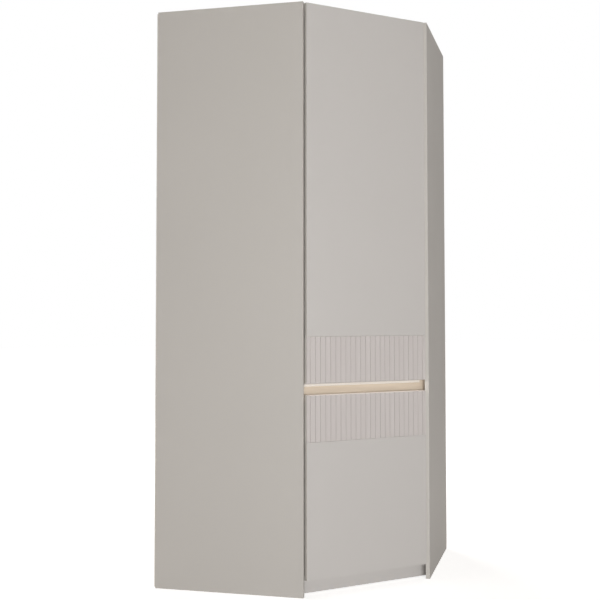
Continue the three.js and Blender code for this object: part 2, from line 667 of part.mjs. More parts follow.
function addHinges() {
  const hinges = [
    ['upper_hinge_1', upperFlutedHinge],
    ['upper_hinge_2', upperPlainHinges[0]],
    ['upper_hinge_3', upperPlainHinges[1]],
    ['lower_hinge_1', lowerPlainHinge],
    ['lower_hinge_2', lowerFlutedHinge],
  ];
  for (const [name, height] of hinges) {
    place(front, `${name}_cup`, 'nickel', hingeCup(), height);
    place(front, `${name}_pin`, 'nickel', hingePin(), height);
    place(front, `${name}_arm`, 'nickel', hingeArm(), height);
    place(front, `${name}_plate`, 'nickel', hingePlate(), height);
  }
}

addUprights();
addLevels();
addPlinth();
addGripRail();
addLight();
addRod();
addShelfPins();
addDoors();
addBuffers();
addHinges();

export default wardrobe;
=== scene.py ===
# %% [markdown]
# # A corner wardrobe with a diagonal front
#
# This lesson dresses a corner wardrobe that is already built at its real size. The packed
# model gives every board and fitting as an object, in metres, with its place in its mesh.
# None of them is moved or reshaped here. The lesson adds the camera, the light, a finish
# for every surface, rounded edges, and the small pieces that a cabinet maker adds last:
# screws, cam fittings, nails, edge bands, caps and the lid of the light's driver.

# %% Load the wardrobe
from math import pi, radians, sqrt

import bmesh
import bpy
from mathutils import Matrix, Vector


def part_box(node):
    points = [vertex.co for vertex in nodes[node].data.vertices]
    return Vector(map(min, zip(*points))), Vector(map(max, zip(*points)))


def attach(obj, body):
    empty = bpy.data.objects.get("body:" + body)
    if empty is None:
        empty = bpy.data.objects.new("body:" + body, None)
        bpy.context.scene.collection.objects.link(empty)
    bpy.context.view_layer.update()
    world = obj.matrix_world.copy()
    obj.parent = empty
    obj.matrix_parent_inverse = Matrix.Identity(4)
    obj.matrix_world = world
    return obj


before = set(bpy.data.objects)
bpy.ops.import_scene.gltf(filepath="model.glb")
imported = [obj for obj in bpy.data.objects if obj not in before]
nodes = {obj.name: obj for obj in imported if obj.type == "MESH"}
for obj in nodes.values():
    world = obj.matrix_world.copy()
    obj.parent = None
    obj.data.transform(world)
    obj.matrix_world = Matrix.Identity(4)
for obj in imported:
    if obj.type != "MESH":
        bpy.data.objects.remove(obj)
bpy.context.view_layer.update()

print("boards and fittings:", len(nodes))

# %% [markdown]
# ## The camera
#
# A photograph of a tall piece is usually taken from eye height or lower, with a long lens,
# so that its upright edges stay nearly upright. The place and the lens here were worked out
# from the wardrobe's own straight edges. The lens is given by the focal length in pixels,
# and the shift says how far the picture's middle lies from the lens axis.

# %% Place the camera
IMAGE_SIZE = 600
FOCAL_PIXELS = 1066.68
AXIS_PIXEL = (285.35, 267.09)
SENSOR = 36.0
CAMERA_PLACE = Vector((-2.3117, -3.9241, 1.0225))
CAMERA_TURN = 30.03
CAMERA_TILT = 2.68

lens = bpy.data.cameras.new("camera")
lens.sensor_width = SENSOR
lens.lens = SENSOR * FOCAL_PIXELS / IMAGE_SIZE
lens.shift_x = (IMAGE_SIZE / 2 - AXIS_PIXEL[0]) / IMAGE_SIZE
lens.shift_y = (AXIS_PIXEL[1] - IMAGE_SIZE / 2) / IMAGE_SIZE
camera = bpy.data.objects.new("camera", lens)
camera.location = CAMERA_PLACE
camera.rotation_euler = (radians(90 + CAMERA_TILT), 0, radians(-CAMERA_TURN))
bpy.context.scene.collection.objects.link(camera)
bpy.context.scene.camera = camera
print("lens:", round(lens.lens, 2), "mm, shift:", round(lens.shift_x, 4), round(lens.shift_y, 4))

# %% [markdown]
# ## Node helpers
#
# Every finish below is a small network of shader nodes. Three helpers keep the cells
# short: one adds a node with its values, one joins two sockets, and one adds a Math node
# together with its two inputs. They work the same way in a material and in a node group.

# %% Add and join shader nodes
def add(tree, kind, values=None, **settings):
    """A new node, with its settings and its input values."""
    made = tree.nodes.new(kind)
    for key, value in settings.items():
        setattr(made, key, value)
    for key, value in (values or {}).items():
        made.inputs[key].default_value = value
    return made


def join(tree, source, output, target, entry):
    """Links an output of one node to an input of another."""
    tree.links.new(source.outputs[output], target.inputs[entry])


def calculate(tree, operation, first, second):
    """A Math node; each of its two inputs is a number or a (node, output) pair."""
    made = add(tree, "ShaderNodeMath", operation=operation)
    for entry, value in enumerate((first, second)):
        if isinstance(value, tuple):
            join(tree, value[0], value[1], made, entry)
        else:
            made.inputs[entry].default_value = value
    return made


# %% [markdown]
# ## Node groups
#
# An effect that several materials share is built once, as a group with named inputs and
# outputs. A group here gives only values and colours that change over the surface. The
# shader itself stays in each material, where its gloss can be set by hand.

# %% Start a node group
def start_group(name, entries, results):
    """An empty shader group with its named sockets, and its input and output nodes."""
    group = bpy.data.node_groups.new(name, "ShaderNodeTree")
    for label, kind, value in entries:
        socket = group.interface.new_socket(label, in_out="INPUT", socket_type=kind)
        socket.default_value = value
    for label, kind in results:
        group.interface.new_socket(label, in_out="OUTPUT", socket_type=kind)
    return group, add(group, "NodeGroupInput"), add(group, "NodeGroupOutput")


NUMBER = "NodeSocketFloat"
COLOUR = "NodeSocketColor"
VECTOR = "NodeSocketVector"
GREY = (0.5, 0.5, 0.5, 1.0)

# %% [markdown]
# ### Drift
#
# No sheet of decor paper is one flat colour. Under even light it drifts a little over half
# a metre, and it has a faint fleck at a few millimetres. The group takes a base colour and
# makes it slightly lighter and darker in both sizes.

# %% Build the drift group
BROAD_SCALE = 1.7
FLECK_SCALE = 260.0


def build_drift():
    group, entry, result = start_group(
        "drift",
        [("Base", COLOUR, GREY), ("Broad", NUMBER, 0.03), ("Fleck", NUMBER, 0.02)],
        [("Colour", COLOUR)])
    place = add(group, "ShaderNodeTexCoord")
    total = None
    for label, scale in (("Broad", BROAD_SCALE), ("Fleck", FLECK_SCALE)):
        noise = add(group, "ShaderNodeTexNoise", {"Scale": scale, "Detail": 3.0})
        join(group, place, "Object", noise, "Vector")
        centred = calculate(group, "SUBTRACT", (noise, "Fac"), 0.5)
        share = calculate(group, "MULTIPLY", (centred, 0), (entry, label))
        total = calculate(group, "ADD", (share, 0), (total, 0) if total else 1.0)
    tint = add(group, "ShaderNodeVectorMath", operation="SCALE")
    join(group, entry, "Base", tint, 0)
    join(group, total, 0, tint, "Scale")
    join(group, tint, 0, result, "Colour")
    return group


DRIFT = build_drift()
print("group:", DRIFT.name)

# %% [markdown]
# ### Pore
#
# Laminate is pressed against a textured plate, which leaves a fine pearl in it, about a
# millimetre across and a few hundredths of a millimetre deep. It is too small to be
# modelled, so it is a height for a Bump node. The same group gives a slow change of gloss
# from hand contact.

# %% Build the pore group
TOUCH_SCALE = 5.0


def build_pore():
    group, entry, result = start_group(
        "pore",
        [("Size", NUMBER, 900.0), ("Rough", NUMBER, 0.5), ("Spread", NUMBER, 0.08)],
        [("Height", NUMBER), ("Roughness", NUMBER)])
    place = add(group, "ShaderNodeTexCoord")
    pearl = add(group, "ShaderNodeTexNoise", {"Detail": 1.5, "Roughness": 0.4})
    join(group, place, "Object", pearl, "Vector")
    join(group, entry, "Size", pearl, "Scale")
    join(group, pearl, "Fac", result, "Height")
    touch = add(group, "ShaderNodeTexNoise",
                {"Scale": TOUCH_SCALE, "Detail": 4.0, "Roughness": 0.6})
    join(group, place, "Object", touch, "Vector")
    centred = calculate(group, "SUBTRACT", (touch, "Fac"), 0.5)
    share = calculate(group, "MULTIPLY", (centred, 0), (entry, "Spread"))
    rough = calculate(group, "ADD", (share, 0), (entry, "Rough"))
    join(group, rough, 0, result, "Roughness")
    return group


PORE = build_pore()
print("group:", PORE.name)

# %% [markdown]
# ### Dust
#
# Dust settles on faces that look up, such as the top board, the shelves and the edges of
# the lower door. The group reads how far the surface faces up and breaks it with a noise.

# %% Build the dust group
DUST_STEEPNESS = 6.0
DUST_SCALE = 11.0


def build_dust():
    group, entry, result = start_group("dust", [("Amount", NUMBER, 0.3)], [("Mask", NUMBER)])
    surface = add(group, "ShaderNodeNewGeometry")
    split = add(group, "ShaderNodeSeparateXYZ")
    join(group, surface, "Normal", split, 0)
    upward = calculate(group, "MAXIMUM", (split, "Z"), 0.0)
    steep = calculate(group, "POWER", (upward, 0), DUST_STEEPNESS)
    place = add(group, "ShaderNodeTexCoord")
    cloud = add(group, "ShaderNodeTexNoise",
                {"Scale": DUST_SCALE, "Detail": 5.0, "Roughness": 0.65})
    join(group, place, "Object", cloud, "Vector")
    broken = calculate(group, "MULTIPLY", (steep, 0), (cloud, "Fac"))
    mask = calculate(group, "MULTIPLY", (broken, 0), (entry, "Amount"))
    join(group, mask, 0, result, "Mask")
    return group


DUST = build_dust()
print("group:", DUST.name)

# %% [markdown]
# ### Wood figure
#
# Oak decor and a real beech dowel both have fibres that run one way: broad bands of light
# and dark, and short fine pores along them. Stretching a noise along one axis gives both.
# The material turns the coordinates, so that the fibres run along the piece.

# %% Build the wood figure group
FIGURE_STRETCH = (2.2, 46.0, 46.0)
FIBRE_STRETCH = (26.0, 900.0, 900.0)
FIBRE_SHARE = 0.35
FIGURE_LOW = 0.45
FIGURE_HIGH = 0.9


def build_wood_figure():
    group, entry, result = start_group(
        "wood_figure",
        [("Vector", VECTOR, (0, 0, 0)), ("Light", COLOUR, GREY), ("Dark", COLOUR, GREY)],
        [("Colour", COLOUR), ("Height", NUMBER)])
    bands = add(group, "ShaderNodeMapping", {"Scale": FIGURE_STRETCH})
    join(group, entry, "Vector", bands, "Vector")
    figure = add(group, "ShaderNodeTexNoise",
                 {"Scale": 1.0, "Detail": 4.0, "Roughness": 0.55, "Distortion": 0.6})
    join(group, bands, 0, figure, "Vector")
    fibres = add(group, "ShaderNodeMapping", {"Scale": FIBRE_STRETCH})
    join(group, entry, "Vector", fibres, "Vector")
    pores = add(group, "ShaderNodeTexNoise", {"Scale": 1.0, "Detail": 2.0, "Roughness": 0.5})
    join(group, fibres, 0, pores, "Vector")
    fine = calculate(group, "MULTIPLY", (pores, "Fac"), FIBRE_SHARE)
    total = calculate(group, "ADD", (figure, "Fac"), (fine, 0))
    spread = add(group, "ShaderNodeMapRange", {"From Min": FIGURE_LOW, "From Max": FIGURE_HIGH})
    join(group, total, 0, spread, "Value")
    ramp = add(group, "ShaderNodeMix", data_type="RGBA")
    join(group, spread, 0, ramp, "Factor")
    join(group, entry, "Light", ramp, 6)
    join(group, entry, "Dark", ramp, 7)
    join(group, ramp, 2, result, "Colour")
    join(group, pores, "Fac", result, "Height")
    return group


WOOD_FIGURE = build_wood_figure()
print("group:", WOOD_FIGURE.name)

# %% [markdown]
# ### Drawn metal
#
# Plated steel and anodised channel keep fine lines from rolling and drawing. The group
# gives a roughness that changes in short streaks, and a height for the lines.

# %% Build the drawn metal group
LINE_STRETCH = (30.0, 1500.0, 1500.0)


def build_drawn_metal():
    group, entry, result = start_group(
        "drawn_metal",
        [("Vector", VECTOR, (0, 0, 0)), ("Rough", NUMBER, 0.25), ("Spread", NUMBER, 0.12)],
        [("Roughness", NUMBER), ("Height", NUMBER)])
    streaks = add(group, "ShaderNodeMapping", {"Scale": LINE_STRETCH})
    join(group, entry, "Vector", streaks, "Vector")
    lines = add(group, "ShaderNodeTexNoise", {"Scale": 1.0, "Detail": 2.0})
    join(group, streaks, 0, lines, "Vector")
    centred = calculate(group, "SUBTRACT", (lines, "Fac"), 0.5)
    share = calculate(group, "MULTIPLY", (centred, 0), (entry, "Spread"))
    rough = calculate(group, "ADD", (share, 0), (entry, "Rough"))
    join(group, rough, 0, result, "Roughness")
    join(group, lines, "Fac", result, "Height")
    return group


DRAWN_METAL = build_drawn_metal()
print("group:", DRAWN_METAL.name)

# %% [markdown]
# ## Materials
#
# Each finish starts from one Principled shader. Its plain values, such as how metallic it
# is, are set on the shader's own sockets. Only what changes over the surface comes in by a
# link: the colour, the roughness and the bump.

# %% Helpers for materials
def start_material(name, **values):
    """A material with its node tree and its Principled shader."""
    material = bpy.data.materials.new(name)
    material.use_nodes = True
    tree = material.node_tree
    shader = tree.nodes["Principled BSDF"]
    for label, value in values.items():
        shader.inputs[label.replace("_", " ")].default_value = value
    return material, tree, shader


def use(tree, group, values):
    """Places a node group in a material, with its own values."""
    made = add(tree, "ShaderNodeGroup", node_tree=group)
    for label, value in values.items():
        made.inputs[label].default_value = value
    return made


def bump(tree, shader, source, output, depth):
    """Feeds a height, in metres at its full depth, to the shader's normal."""
    relief = add(tree, "ShaderNodeBump", {"Strength": 1.0, "Distance": depth})
    join(tree, source, output, relief, "Height")
    join(tree, relief, 0, shader, "Normal")


def fibre_vector(tree, turn=(0, 0, 0)):
    """Object coordinates, turned so that X runs along the fibres."""
    place = add(tree, "ShaderNodeTexCoord")
    turned = add(tree, "ShaderNodeMapping", {"Rotation": turn})
    join(tree, place, "Object", turned, "Vector")
    return turned


DUST_COLOUR = (0.62, 0.6, 0.57, 1.0)


def with_dust(tree, shader, source, output, amount):
    """Mixes pale dust into a colour on faces that look up."""
    dust = use(tree, DUST, {"Amount": amount})
    blend = add(tree, "ShaderNodeMix", {7: DUST_COLOUR}, data_type="RGBA")
    join(tree, dust, "Mask", blend, "Factor")
    join(tree, source, output, blend, 6)
    join(tree, blend, 2, shader, "Base Color")


# %% [markdown]
# ### Laminated board
#
# The wardrobe is made of chipboard with a warm grey laminate. One recipe serves the
# carcass, the plain parts of the doors, their grooved parts, whose foil is a little pinker,
# and the edge bands. The doors' laminate is the carcass's laminate painted lighter, which
# evens the light between the front and the sides. The plinth takes it too, as painted light
# against the shade under the doors. The doors' bands are painted lighter again, against the
# shade in the gaps beside them. Matt laminate has a weak, broad highlight, so its roughness is
# high.

# %% Make the laminates and the edge band
PEARL_DEPTH = 0.00003


def laminate(name, colour, rough, broad=0.035, dust=0.35, pearl=PEARL_DEPTH):
    """A matt decor: a drifting colour with dust on it, and a fine pearl."""
    material, tree, shader = start_material(name, Specular_IOR_Level=0.18)
    tint = use(tree, DRIFT, {"Base": (*colour, 1.0), "Broad": broad, "Fleck": 0.02})
    pore = use(tree, PORE, {"Size": 900.0, "Rough": rough, "Spread": 0.1})
    with_dust(tree, shader, tint, "Colour", dust)
    join(tree, pore, "Roughness", shader, "Roughness")
    bump(tree, shader, pore, "Height", pearl)
    return material


CARCASS = laminate("carcass_laminate", (0.499, 0.469, 0.438), 0.56)
# The doors' laminate is the carcass's laminate painted lighter: painted light that evens the
# front against the sides.
DOOR = laminate("door_laminate", (0.535, 0.506, 0.485), 0.54)
FLUTED = laminate("fluted_foil", (0.555, 0.51, 0.493), 0.5, dust=0.25, pearl=0.5 * PEARL_DEPTH)
BAND = laminate("edge_band", (0.55, 0.519, 0.484), 0.46, broad=0.02, pearl=0.5 * PEARL_DEPTH)
# The doors' band is painted lighter again, so that their edges stay light in the shaded gaps
# beside the side boards.
DOOR_BAND_PAINTED_LIGHT = laminate("door_band_painted_light", (0.62, 0.585, 0.545), 0.46, broad=0.02,
                     pearl=0.5 * PEARL_DEPTH)
print("laminates:", [m.name for m in (CARCASS, DOOR, FLUTED, BAND, DOOR_BAND_PAINTED_LIGHT)])

# %% [markdown]
# ### Oak decor, hardboard and beech
#
# The rail behind the recess has an oak decor with its grain along the rail. The backs are
# thin hardboard with a pale printed face. The dowels are ribbed beech, with upright grain.

# %% Make the wooden finishes
def wooden(name, light, dark, turn, rough, depth, dust=0.2):
    """A grained finish between a light and a dark colour."""
    material, tree, shader = start_material(name, Specular_IOR_Level=0.45)
    figure = use(tree, WOOD_FIGURE, {"Light": (*light, 1.0), "Dark": (*dark, 1.0)})
    join(tree, fibre_vector(tree, turn), 0, figure, "Vector")
    pore = use(tree, PORE, {"Size": 500.0, "Rough": rough, "Spread": 0.12})
    with_dust(tree, shader, figure, "Colour", dust)
    join(tree, pore, "Roughness", shader, "Roughness")
    bump(tree, shader, figure, "Height", depth)
    return material


OAK = wooden("oak_decor", (0.592, 0.504, 0.41), (0.493, 0.411, 0.325), (0, 0, 0), 0.45, 0.00006)
BEECH = wooden("beech", (0.6, 0.4, 0.22), (0.48, 0.3, 0.15), (0, radians(90), 0), 0.6, 0.0001)
HARDBOARD = laminate("pale_hardboard", (0.63, 0.59, 0.54), 0.68, broad=0.05, dust=0.1)
print("wooden finishes:", [m.name for m in (OAK, BEECH, HARDBOARD)])

# %% [markdown]
# ### Metals
#
# Hinges, brackets and pins are nickel-plated steel. The rod is polished, and the light's
# channel is anodised, which is softer. A metal's colour is its reflection, so its base
# colour is bright and its roughness makes the difference.

# %% Make the metals
def metal(name, colour, rough, spread, turn=(0, 0, 0), depth=0.00001):
    """Drawn or plated metal; spread is how far its roughness changes."""
    material, tree, shader = start_material(name, Metallic=1.0)
    streaks = use(tree, DRAWN_METAL, {"Rough": rough, "Spread": spread})
    join(tree, fibre_vector(tree, turn), 0, streaks, "Vector")
    tint = use(tree, DRIFT, {"Base": (*colour, 1.0), "Broad": 0.05, "Fleck": 0.05})
    join(tree, tint, "Colour", shader, "Base Color")
    join(tree, streaks, "Roughness", shader, "Roughness")
    bump(tree, shader, streaks, "Height", depth)
    return material


NICKEL = metal("satin_nickel", (0.56, 0.55, 0.53), 0.3, 0.14)
CHROME = metal("polished_chrome", (0.7, 0.71, 0.72), 0.1, 0.08, depth=0.000002)
ANODISED = metal("anodised_channel", (0.8, 0.79, 0.77), 0.5, 0.1)
ZINC = metal("zinc_screw", (0.5, 0.49, 0.45), 0.34, 0.16)
print("metals:", [m.name for m in (NICKEL, CHROME, ANODISED, ZINC)])

# %% [markdown]
# ### Plastics and the lit diffuser
#
# Small moulded pieces are plain plastic with a fine spark texture. The light strip is a
# white board with a small yellow lamp every few millimetres, which a repeating step along
# its length draws. The diffuser is opal plastic that glows: its light is part of its
# material, at a strength where it shows as a warm white line and not as a flare.

# %% Make the plastics
SPARK_DEPTH = 0.00001
CHIP_RISE = 0.0004


def plastic(name, colour, rough, **values):
    """A moulded plastic; further values go to its Principled shader."""
    material, tree, shader = start_material(name, **values)
    tint = use(tree, DRIFT, {"Base": (*colour, 1.0), "Broad": 0.02, "Fleck": 0.03})
    pore = use(tree, PORE, {"Size": 1600.0, "Rough": rough, "Spread": 0.1})
    join(tree, tint, "Colour", shader, "Base Color")
    join(tree, pore, "Roughness", shader, "Roughness")
    bump(tree, shader, pore, "Height", SPARK_DEPTH)
    return material


def lamp_strip(pitch=0.0083, share=0.34):
    """The strip's white board, with a small yellow lamp in every pitch of its length."""
    material, tree, shader = start_material("lamp_strip", Roughness=0.45)
    place = add(tree, "ShaderNodeTexCoord")
    split = add(tree, "ShaderNodeSeparateXYZ")
    join(tree, place, "Object", split, 0)
    steps = calculate(tree, "DIVIDE", (split, "X"), pitch)
    within = calculate(tree, "FRACT", (steps, 0), 0.0)
    chip = calculate(tree, "LESS_THAN", (within, 0), share)
    blend = add(tree, "ShaderNodeMix", {6: (0.82, 0.81, 0.77, 1.0), 7: (0.85, 0.62, 0.16, 1.0)},
                data_type="RGBA")
    join(tree, chip, 0, blend, "Factor")
    join(tree, blend, 2, shader, "Base Color")
    bump(tree, shader, chip, 0, CHIP_RISE)
    return material


WHITE_PLASTIC = plastic("white_plastic", (0.76, 0.74, 0.7), 0.42)
SHEATH = plastic("soft_sheath", (0.7, 0.68, 0.64), 0.5)
BUFFER = plastic("soft_buffer", (0.66, 0.66, 0.64), 0.3)
LIGHT_STRIP = lamp_strip()
CAM_CAP = plastic("cam_cap", (0.47, 0.43, 0.39), 0.45)
GLOW = (1.0, 0.9, 0.8, 1.0)
GLOW_STRENGTH = 0.28
OPAL = plastic("opal_diffuser", (0.39, 0.368, 0.342), 0.4,
               Emission_Color=GLOW, Emission_Strength=GLOW_STRENGTH)
print("plastics:", [m.name for m in (WHITE_PLASTIC, SHEATH, BUFFER, LIGHT_STRIP, CAM_CAP, OPAL)])

# %% [markdown]
# ## Dress the boards and fittings
#
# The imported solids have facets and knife-sharp edges. A short Geometry Nodes tree joins
# their corners and smooths the faces that meet at a low angle, and a Bevel modifier then
# rounds the sharp edges. Both are modifiers, so the mesh underneath stays as it is.

# %% Smooth by angle with Geometry Nodes
SMOOTH_ANGLE = radians(28)
WELD_DISTANCE = 0.00001


def build_smoothing():
    """Joins the corners, then smooths every edge that is flatter than the smoothing angle."""
    tree = bpy.data.node_groups.new("smooth_by_angle", "GeometryNodeTree")
    for way in ("INPUT", "OUTPUT"):
        tree.interface.new_socket("Geometry", in_out=way, socket_type="NodeSocketGeometry")
    entry = add(tree, "NodeGroupInput")
    weld = add(tree, "GeometryNodeMergeByDistance", {"Distance": WELD_DISTANCE})
    bare = add(tree, "GeometryNodeRemoveAttribute", {"Name": "custom_normal"})
    smooth = add(tree, "GeometryNodeSetShadeSmooth", domain="FACE")
    angle = add(tree, "GeometryNodeInputMeshEdgeAngle")
    sharp = add(tree, "FunctionNodeCompare", {"B": SMOOTH_ANGLE}, operation="GREATER_THAN")
    crease = add(tree, "GeometryNodeSetShadeSmooth", {"Shade Smooth": False}, domain="EDGE")
    result = add(tree, "NodeGroupOutput")
    join(tree, entry, 0, weld, "Geometry")
    join(tree, weld, 0, bare, "Geometry")
    join(tree, bare, 0, smooth, "Geometry")
    join(tree, smooth, 0, crease, "Geometry")
    join(tree, angle, "Unsigned Angle", sharp, "A")
    join(tree, sharp, 0, crease, "Selection")
    join(tree, crease, 0, result, 0)
    return tree


SMOOTHING = build_smoothing()


def round_edges(piece, width, segments=2):
    """Smooths a piece by angle and rounds its sharp edges."""
    smooth = piece.modifiers.new("smooth_by_angle", "NODES")
    smooth.node_group = SMOOTHING
    bevel = piece.modifiers.new("round_edges", "BEVEL")
    bevel.width = width
    bevel.segments = segments
    bevel.limit_method = "ANGLE"
    bevel.angle_limit = SMOOTH_ANGLE
    bevel.harden_normals = True


# %% [markdown]
# Each node gets its finish and the radius that its edge has on the real piece: about half
# a millimetre on a banded board, less on thin metal, more on moulded plastic. A table by
# the start of the name keeps this readable.

# %% Give every node its finish
DRESS = [
    (("left_side", "right_side", "top_panel", "bottom_panel", "middle_shelf", "hat_shelf",
      "lower_shelf", "left_corner", "right_corner"), CARCASS, 0.0004),
    (("left_back", "right_back"), HARDBOARD, 0.0003),
    # The plinth takes the doors' lighter laminate: painted light against the shade under the
    # doors.
    (("upper_door_panel", "lower_door_panel", "plinth"), DOOR, 0.0004),
    (("upper_fluted", "lower_fluted"), FLUTED, 0.0003),
    (("grip_rail",), OAK, 0.0005),
    (("light_channel",), ANODISED, 0.00015),
    (("light_strip",), LIGHT_STRIP, 0.0001),
    (("light_diffuser",), OPAL, 0.0002),
    (("light_driver",), WHITE_PLASTIC, 0.0012),
    (("light_lead",), SHEATH, 0.0002),
    (("hanging_rod",), CHROME, 0.0002),
    (("left_rod", "right_rod"), NICKEL, 0.0008),
    (("shelf_pin", "upper_hinge", "lower_hinge"), NICKEL, 0.0003),
    (("upper_dowel", "lower_dowel"), BEECH, 0.0006),
    (("upper_buffer", "lower_buffer"), BUFFER, 0.0015),
]


def dress_nodes():
    """Gives each node the finish and the rounding of the first part of its name."""
    done = 0
    for starts, material, radius in DRESS:
        for name, piece in nodes.items():
            if name.startswith(starts):
                piece.data.materials.clear()
                piece.data.materials.append(material)
                round_edges(piece, radius)
                done += 1
    return done


print("nodes dressed:", dress_nodes(), "of", len(nodes))

# %% [markdown]
# A laminated board shows its core where it is cut, so each visible edge has a band glued
# on. The bands here are a little lighter than the boards. The doors' bands are lighter
# again, which is painted light that keeps their edges bright in the shaded gaps. A second
# Geometry Nodes tree finds the faces that look one way and gives them the band's material.

# %% Band the visible edges
FRONT_EDGED = ("top_panel", "bottom_panel", "middle_shelf", "hat_shelf", "lower_shelf")
DOOR_BOARDS = ("upper_door_panel", "upper_fluted_panel", "lower_fluted_panel", "lower_door_panel")
DOOR_EDGES = ((-1, 0, 0), (1, 0, 0), (0, 0, 1), (0, 0, -1))
BAND_ALIGNMENT = 0.97


def build_banding():
    """Gives the faces that look one way the piece's second material."""
    tree = bpy.data.node_groups.new("edge_band", "GeometryNodeTree")
    tree.interface.new_socket("Geometry", in_out="INPUT", socket_type="NodeSocketGeometry")
    tree.interface.new_socket("Way", in_out="INPUT", socket_type="NodeSocketVector")
    tree.interface.new_socket("Geometry", in_out="OUTPUT", socket_type="NodeSocketGeometry")
    entry = add(tree, "NodeGroupInput")
    normal = add(tree, "GeometryNodeInputNormal")
    along = add(tree, "ShaderNodeVectorMath", operation="DOT_PRODUCT")
    facing_way = add(tree, "FunctionNodeCompare", {"B": BAND_ALIGNMENT}, operation="GREATER_THAN")
    index = add(tree, "GeometryNodeSetMaterialIndex", {"Material Index": 1})
    result = add(tree, "NodeGroupOutput")
    join(tree, normal, 0, along, 0)
    join(tree, entry, "Way", along, 1)
    join(tree, along, "Value", facing_way, "A")
    join(tree, entry, "Geometry", index, "Geometry")
    join(tree, facing_way, 0, index, "Selection")
    join(tree, index, 0, result, 0)
    return tree


BANDING = build_banding()


def band_edge(name, way, band=BAND):
    """Bands the edge of a board that looks the given way."""
    piece = nodes[name]
    if band.name not in piece.data.materials:
        piece.data.materials.append(band)
    banding = piece.modifiers.new("edge_band", "NODES")
    banding.node_group = BANDING
    banding["Socket_1"] = way
    piece.modifiers.move(len(piece.modifiers) - 1, 0)


def band_edges():
    """Bands the side boards' front edges, the shelves' front edges and the doors all round."""
    band_edge("left_side", (sqrt(0.5), -sqrt(0.5), 0))
    band_edge("right_side", (-sqrt(0.5), -sqrt(0.5), 0))
    for name in FRONT_EDGED:
        band_edge(name, (0, -1, 0))
    for name in DOOR_BOARDS:
        # The doors' bands are painted lighter, against the shade in the gaps beside them.
        for way in DOOR_EDGES:
            band_edge(name, way, DOOR_BAND_PAINTED_LIGHT)


band_edges()
print("boards with a band:", sum(len(p.data.materials) > 1 for p in nodes.values()))

# %% [markdown]
# ## Directions and places
#
# The side boards stand at 45 degrees to the front. Small pieces on them are placed by two
# directions: along the board, away from the front, and off its inner face. Their distances
# are read from the nodes that carry them, so that nothing is placed by eye.

# %% Measure nodes along a direction
SLANT = sqrt(0.5)
ALONG = {"left": Vector((-SLANT, SLANT, 0)), "right": Vector((SLANT, SLANT, 0))}
OFF = {"left": Vector((SLANT, SLANT, 0)), "right": Vector((-SLANT, SLANT, 0))}
UP = Vector((0, 0, 1))
BACK = Vector((0, 1, 0))


def reach(name, direction, above=None):
    """The lowest and highest distance of a node's corners along a direction."""
    corners = [v.co for v in nodes[name].data.vertices if above is None or above(v.co)]
    spans = [corner.dot(direction) for corner in corners]
    return min(spans), max(spans)


def middle(name, direction):
    """The distance of a node's middle along a direction."""
    return sum(reach(name, direction)) / 2


print("right side board's depth:", [round(v, 4) for v in reach("right_side", ALONG["right"])])

# %% [markdown]
# ## Turned pieces and screws
#
# Screw heads, caps and nails are turned shapes, so one helper spins a profile of radii and
# heights round the Z axis. A cross recess is then cut into a screw's head with a Boolean
# modifier, and the result is kept as a mesh that all screws of that size share.

# %% Spin a profile and cut a recess
TURN_SIDES = 28


def turned(name, profile):
    """A closed mesh: the profile, a list of (radius, height), spun round the Z axis."""
    work = bmesh.new()
    rings = []
    for radius, height in profile:
        angles = [2 * pi * i / TURN_SIDES for i in range(TURN_SIDES)]
        spots = [Matrix.Rotation(a, 3, "Z") @ Vector((radius, 0, height)) for a in angles]
        rings.append([work.verts.new(spot) for spot in spots])
    for low, high in zip(rings, rings[1:]):
        for i in range(TURN_SIDES):
            k = (i + 1) % TURN_SIDES
            work.faces.new((low[i], low[k], high[k], high[i]))
    work.faces.new(reversed(rings[0]))
    work.faces.new(rings[-1])
    mesh = bpy.data.meshes.new(name)
    work.to_mesh(mesh)
    work.free()
    return mesh


def carved(mesh, cutter):
    """The mesh with the cutter's shape taken out of it."""
    body = bpy.data.objects.new("carve_body", mesh)
    tool = bpy.data.objects.new("carve_tool", cutter)
    for piece in (body, tool):
        bpy.context.scene.collection.objects.link(piece)
    take = body.modifiers.new("take_out", "BOOLEAN")
    take.object = tool
    take.solver = "EXACT"
    take.use_self = True
    bpy.context.view_layer.update()
    shape = body.evaluated_get(bpy.context.evaluated_depsgraph_get())
    result = bpy.data.meshes.new_from_object(shape)
    for piece in (body, tool):
        bpy.data.objects.remove(piece)
    result.name = mesh.name
    return result


# %% [markdown]
# A cross recess is two narrow wedges that meet on the screw's axis. The head is a low dome
# with a small step where it meets what it holds.

# %% Make the screw head
def cross(width, arm, top, depth):
    """A cross-shaped cutter, narrower at its bottom."""
    work = bmesh.new()
    for turn in (0, pi / 2):
        spin = Matrix.Rotation(turn, 4, "Z")
        low = [(-0.6 * arm, -0.4 * width), (0.6 * arm, -0.4 * width),
               (0.6 * arm, 0.4 * width), (-0.6 * arm, 0.4 * width)]
        high = [(-arm, -width / 2), (arm, -width / 2), (arm, width / 2), (-arm, width / 2)]
        ring_low = [work.verts.new(spin @ Vector((x, y, top - depth))) for x, y in low]
        ring_high = [work.verts.new(spin @ Vector((x, y, top + depth))) for x, y in high]
        work.faces.new(reversed(ring_low))
        work.faces.new(ring_high)
        for i in range(4):
            k = (i + 1) % 4
            work.faces.new((ring_low[i], ring_low[k], ring_high[k], ring_high[i]))
    mesh = bpy.data.meshes.new("cross")
    work.to_mesh(mesh)
    work.free()
    return mesh


def screw_head(name, radius, height):
    """A domed head with a cross recess."""
    dome = [(0.94 * radius, 0), (radius, 0.2 * height), (0.96 * radius, 0.5 * height),
            (0.78 * radius, 0.82 * height), (0.42 * radius, height), (0.1 * radius, height)]
    head = turned(name, dome)
    return carved(head, cross(0.26 * radius, 0.56 * radius, height, 0.7 * height))


